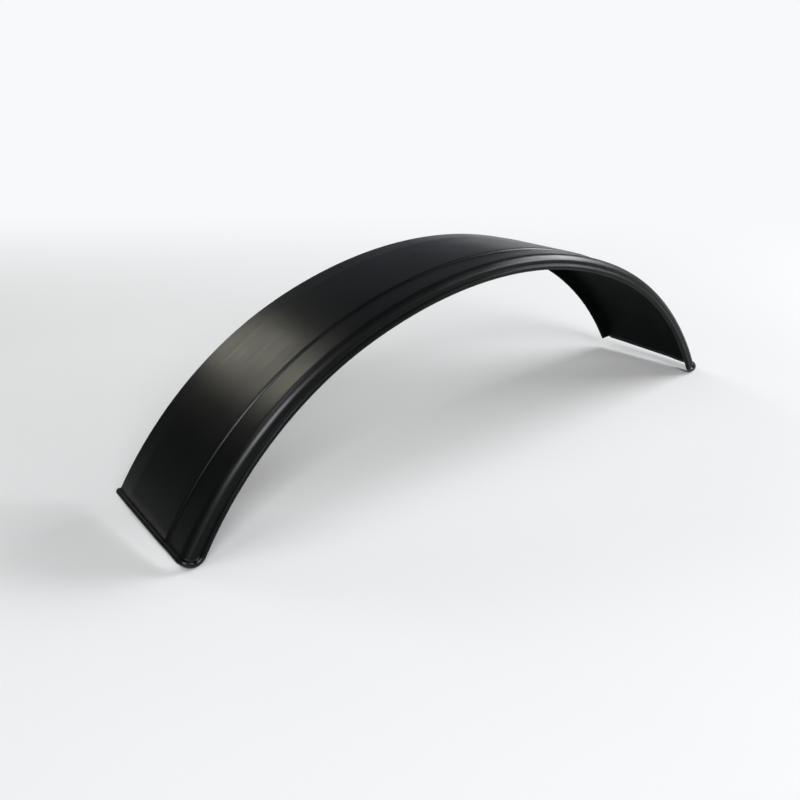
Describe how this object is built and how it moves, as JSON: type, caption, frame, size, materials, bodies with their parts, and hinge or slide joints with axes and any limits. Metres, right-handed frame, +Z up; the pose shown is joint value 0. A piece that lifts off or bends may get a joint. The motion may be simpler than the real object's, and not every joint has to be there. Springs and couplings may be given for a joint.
{
  "type": "mudguard",
  "caption": "Arched one-piece mudguard in black moulded plastic, with an inner fixing flange, a creased crown, a rounded shoulder and a beaded edge.",
  "frame": {"origin": "on the ground under the middle of the guard, which stands on its two ends", "axes": "+X along the guard, +Y out of the inner flange that is fixed to the vehicle, +Z up"},
  "size_m": [0.8362, 0.16, 0.2311],
  "materials": {
    "black_polyethylene": "satin"
  },
  "bodies": {
    "root": {"mudguard": "black_polyethylene"}
  },
  "joints": []
}
